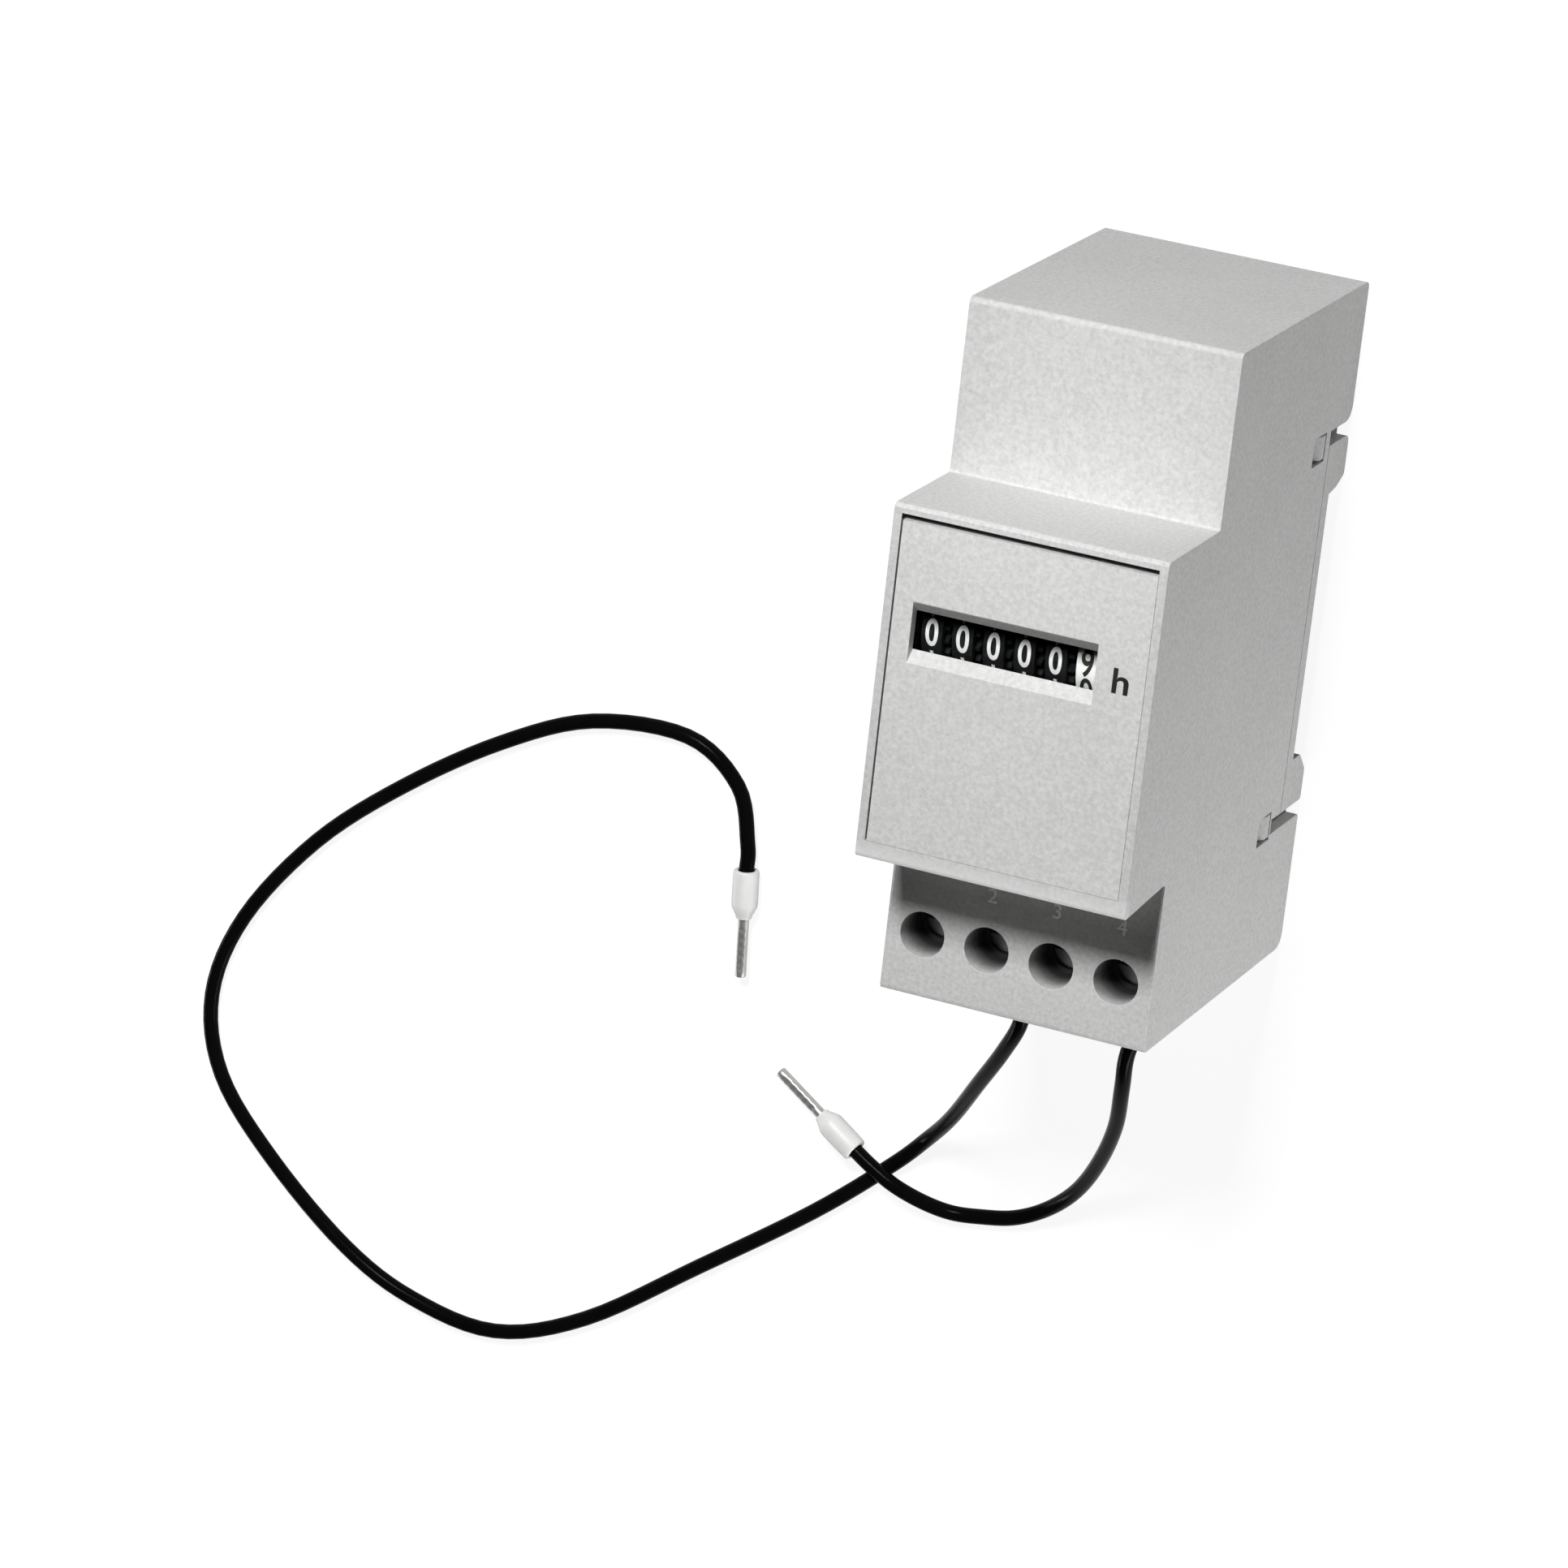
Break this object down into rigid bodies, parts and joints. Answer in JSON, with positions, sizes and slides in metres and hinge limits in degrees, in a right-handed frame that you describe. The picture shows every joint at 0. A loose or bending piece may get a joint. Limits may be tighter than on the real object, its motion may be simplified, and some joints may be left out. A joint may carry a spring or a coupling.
{
  "type": "pulse counter",
  "caption": "Rail-mounted electromechanical pulse counter with a stepped moulded housing, a window over number wheels, recessed screw terminals and two ferruled leads.",
  "frame": {"origin": "centre of the housing's back plane, without the leads", "axes": "+X to the right across the width, +Y up the height to the top face, +Z out of the front"},
  "size_m": [0.1545, 0.1737, 0.064],
  "materials": {
    "housing_grey": "fine satin moulded plastic, light grey",
    "base_grey": "fine satin moulded plastic, light grey",
    "plate_grey": "fine satin moulded plastic, light grey, printed letter h",
    "clear_pane": "clear polished plastic pane",
    "frame_black": "black moulded plastic",
    "steel": "drawn or turned steel",
    "can_steel": "drawn steel can",
    "brass": "cut brass",
    "wheel_white": "white moulded plastic with black printed digits",
    "wheel_black": "black moulded plastic with white printed digits",
    "gear_white": "natural white moulded plastic",
    "board_green": "circuit board with solder mask",
    "film_yellow": "moulded case",
    "sleeve_blue": "shrunk sleeve",
    "chip_black": "moulded package",
    "crystal_can": "small metal can",
    "resistor_blue": "lacquered body",
    "insert_grey": "light grey insulating insert",
    "tinned": "tinned metal",
    "screw_steel": "zinc-plated steel",
    "lead_black": "black insulation",
    "collar_white": "white insulating collar",
    "sleeve_tin": "tinned copper tube"
  },
  "bodies": {
    "housing": {"housing_cover": "housing_grey", "base_plate": "base_grey", "front_plate": "plate_grey", "window_lens": "clear_pane", "counter_frame": "frame_black", "pinion_shaft": "steel", "idler_stud": "steel", "motor_screws": "steel", "board_screws": "steel", "latch_spring": "steel", "motor_can": "can_steel", "circuit_board": "board_green", "film_capacitor": "film_yellow", "electrolytic_capacitor": "sleeve_blue", "rectifier": "chip_black", "driver_chip": "chip_black", "crystal": "crystal_can", "resistors": "resistor_blue", "terminal_block": "insert_grey", "contact_bar_1": "tinned", "contact_bar_2": "tinned", "contact_bar_3": "tinned", "contact_bar_4": "tinned", "lead_1": "lead_black", "lead_2": "lead_black", "ferrule_collar_1": "collar_white", "ferrule_collar_2": "collar_white", "ferrule_sleeve_1": "sleeve_tin", "ferrule_sleeve_2": "sleeve_tin"},
    "units": {"number_wheel_1": "wheel_white", "wheel_shaft": "steel", "drive_gear": "brass"},
    "wheel_2": {"number_wheel_2": "wheel_black"},
    "wheel_3": {"number_wheel_3": "wheel_black"},
    "wheel_4": {"number_wheel_4": "wheel_black"},
    "wheel_5": {"number_wheel_5": "wheel_black"},
    "wheel_6": {"number_wheel_6": "wheel_black"},
    "pinion_1": {"transfer_pinion_1": "gear_white"},
    "pinion_2": {"transfer_pinion_2": "gear_white"},
    "pinion_3": {"transfer_pinion_3": "gear_white"},
    "pinion_4": {"transfer_pinion_4": "gear_white"},
    "pinion_5": {"transfer_pinion_5": "gear_white"},
    "idler": {"idler_gear": "gear_white"},
    "rotor": {"motor_shaft": "steel", "motor_pinion": "brass"},
    "screw_1": {"terminal_screw_1": "screw_steel"},
    "cage_1": {"clamp_cage_1": "tinned"},
    "screw_2": {"terminal_screw_2": "screw_steel"},
    "cage_2": {"clamp_cage_2": "tinned"},
    "screw_3": {"terminal_screw_3": "screw_steel"},
    "cage_3": {"clamp_cage_3": "tinned"},
    "screw_4": {"terminal_screw_4": "screw_steel"},
    "cage_4": {"clamp_cage_4": "tinned"},
    "latch": {"rail_latch": "base_grey"}
  },
  "joints": [
    {"name": "units_spin", "type": "hinge", "parent": "housing", "child": "units", "pos_m": [0, 0.0068, 0.0545], "axis": [1, 0, 0], "continuous": true},
    {"name": "wheel_2_spin", "type": "hinge", "parent": "housing", "child": "wheel_2", "pos_m": [0, 0.0068, 0.0545], "axis": [1, 0, 0], "continuous": true},
    {"name": "wheel_3_spin", "type": "hinge", "parent": "housing", "child": "wheel_3", "pos_m": [0, 0.0068, 0.0545], "axis": [1, 0, 0], "continuous": true},
    {"name": "wheel_4_spin", "type": "hinge", "parent": "housing", "child": "wheel_4", "pos_m": [0, 0.0068, 0.0545], "axis": [1, 0, 0], "continuous": true},
    {"name": "wheel_5_spin", "type": "hinge", "parent": "housing", "child": "wheel_5", "pos_m": [0, 0.0068, 0.0545], "axis": [1, 0, 0], "continuous": true},
    {"name": "wheel_6_spin", "type": "hinge", "parent": "housing", "child": "wheel_6", "pos_m": [0, 0.0068, 0.0545], "axis": [1, 0, 0], "continuous": true},
    {"name": "pinion_1_spin", "type": "hinge", "parent": "housing", "child": "pinion_1", "pos_m": [0, 0.00881, 0.04701], "axis": [1, 0, 0], "continuous": true},
    {"name": "pinion_2_spin", "type": "hinge", "parent": "housing", "child": "pinion_2", "pos_m": [0, 0.00881, 0.04701], "axis": [1, 0, 0], "continuous": true},
    {"name": "pinion_3_spin", "type": "hinge", "parent": "housing", "child": "pinion_3", "pos_m": [0, 0.00881, 0.04701], "axis": [1, 0, 0], "continuous": true},
    {"name": "pinion_4_spin", "type": "hinge", "parent": "housing", "child": "pinion_4", "pos_m": [0, 0.00881, 0.04701], "axis": [1, 0, 0], "continuous": true},
    {"name": "pinion_5_spin", "type": "hinge", "parent": "housing", "child": "pinion_5", "pos_m": [0, 0.00881, 0.04701], "axis": [1, 0, 0], "continuous": true},
    {"name": "idler_spin", "type": "hinge", "parent": "housing", "child": "idler", "pos_m": [0, -0.00061, 0.05135], "axis": [1, 0, 0], "continuous": true},
    {"name": "rotor_spin", "type": "hinge", "parent": "housing", "child": "rotor", "pos_m": [0, -0.00827, 0.04887], "axis": [1, 0, 0], "continuous": true},
    {"name": "screw_1_turn", "type": "hinge", "parent": "housing", "child": "screw_1", "pos_m": [-0.01312, -0.0366, 0.041], "axis": [0, 0, 1], "range_deg": [0, 1350]},
    {"name": "cage_1_slide", "type": "slide", "parent": "housing", "child": "cage_1", "axis": [0, 0, 1], "range_m": [-0.00225, 0]},
    {"name": "screw_2_turn", "type": "hinge", "parent": "housing", "child": "screw_2", "pos_m": [-0.00438, -0.0366, 0.041], "axis": [0, 0, 1], "range_deg": [0, 1350]},
    {"name": "cage_2_slide", "type": "slide", "parent": "housing", "child": "cage_2", "axis": [0, 0, 1], "range_m": [-0.00225, 0]},
    {"name": "screw_3_turn", "type": "hinge", "parent": "housing", "child": "screw_3", "pos_m": [0.00438, -0.0366, 0.041], "axis": [0, 0, 1], "range_deg": [0, 1350]},
    {"name": "cage_3_slide", "type": "slide", "parent": "housing", "child": "cage_3", "axis": [0, 0, 1], "range_m": [-0.00225, 0]},
    {"name": "screw_4_turn", "type": "hinge", "parent": "housing", "child": "screw_4", "pos_m": [0.01312, -0.0366, 0.041], "axis": [0, 0, 1], "range_deg": [0, 1350]},
    {"name": "cage_4_slide", "type": "slide", "parent": "housing", "child": "cage_4", "axis": [0, 0, 1], "range_m": [-0.00225, 0]},
    {"name": "latch_slide", "type": "slide", "parent": "housing", "child": "latch", "axis": [0, -1, 0], "range_m": [0, 0.003], "stiffness_N_per_m": 1500, "springref_m": -0.002, "deforming": ["latch_spring"]}
  ],
  "couplings": [
    {"joint": "wheel_2_spin", "follows": "units_spin", "ratio": 0.1},
    {"joint": "wheel_3_spin", "follows": "units_spin", "ratio": 0.01},
    {"joint": "wheel_4_spin", "follows": "units_spin", "ratio": 0.001},
    {"joint": "wheel_5_spin", "follows": "units_spin", "ratio": 0.0001},
    {"joint": "wheel_6_spin", "follows": "units_spin", "ratio": 0.00001},
    {"joint": "pinion_1_spin", "follows": "units_spin", "ratio": -0.25},
    {"joint": "pinion_2_spin", "follows": "units_spin", "ratio": -0.025},
    {"joint": "pinion_3_spin", "follows": "units_spin", "ratio": -0.0025},
    {"joint": "pinion_4_spin", "follows": "units_spin", "ratio": -0.00025},
    {"joint": "pinion_5_spin", "follows": "units_spin", "ratio": -0.000025},
    {"joint": "idler_spin", "follows": "units_spin", "ratio": -3},
    {"joint": "rotor_spin", "follows": "units_spin", "ratio": 9},
    {"joint": "screw_1_turn", "follows": "cage_1_slide", "rad_per_m": -10472},
    {"joint": "screw_2_turn", "follows": "cage_2_slide", "rad_per_m": -10472},
    {"joint": "screw_3_turn", "follows": "cage_3_slide", "rad_per_m": -10472},
    {"joint": "screw_4_turn", "follows": "cage_4_slide", "rad_per_m": -10472}
  ]
}
